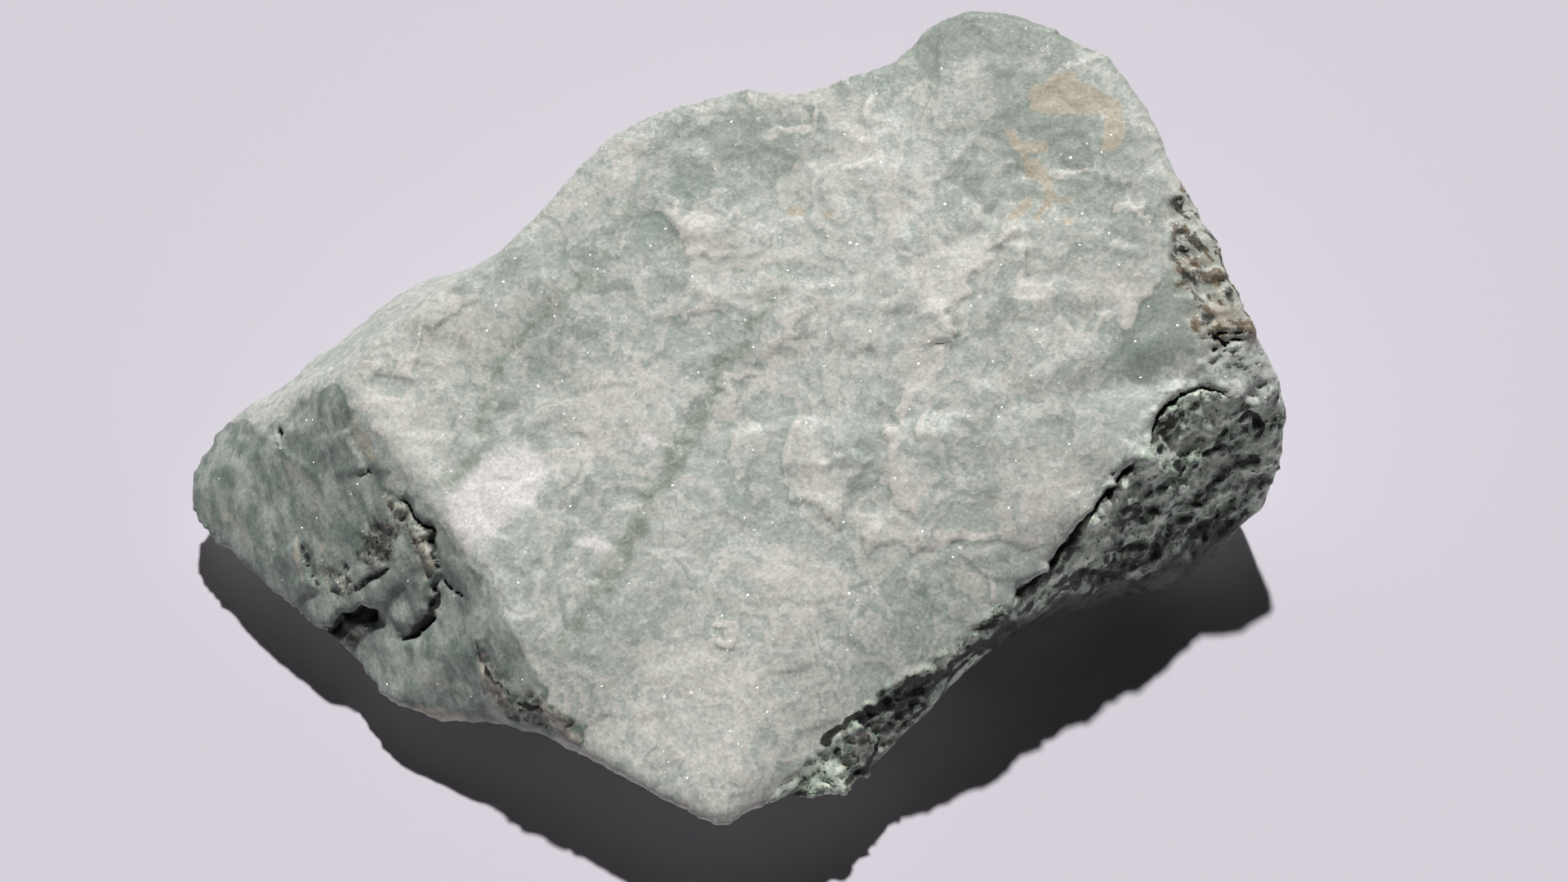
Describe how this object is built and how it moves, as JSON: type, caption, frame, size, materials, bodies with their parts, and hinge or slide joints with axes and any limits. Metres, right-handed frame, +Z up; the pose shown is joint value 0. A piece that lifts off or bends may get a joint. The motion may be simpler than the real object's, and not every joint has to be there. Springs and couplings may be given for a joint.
{
  "type": "quartzite rock",
  "caption": "Broken lump of pale green quartzite with one large sloping face, a dark undercut side and a crumbly left end, lying on a small flat spot.",
  "frame": {"origin": "middle of the footprint's box, on the surface that the rock lies on", "axes": "+X to the right of the large pale face, along the rock's longest side; +Y away from its low corner, towards the high back edge; +Z up"},
  "size_m": [0.1156, 0.0868, 0.0383],
  "materials": {
    "quartzite": "rough broken stone with a fine sugary grain, pale grey-green with white, beige and dark green patches and small sparkles"
  },
  "bodies": {
    "root": {"quartzite_rock": "quartzite"}
  },
  "joints": []
}
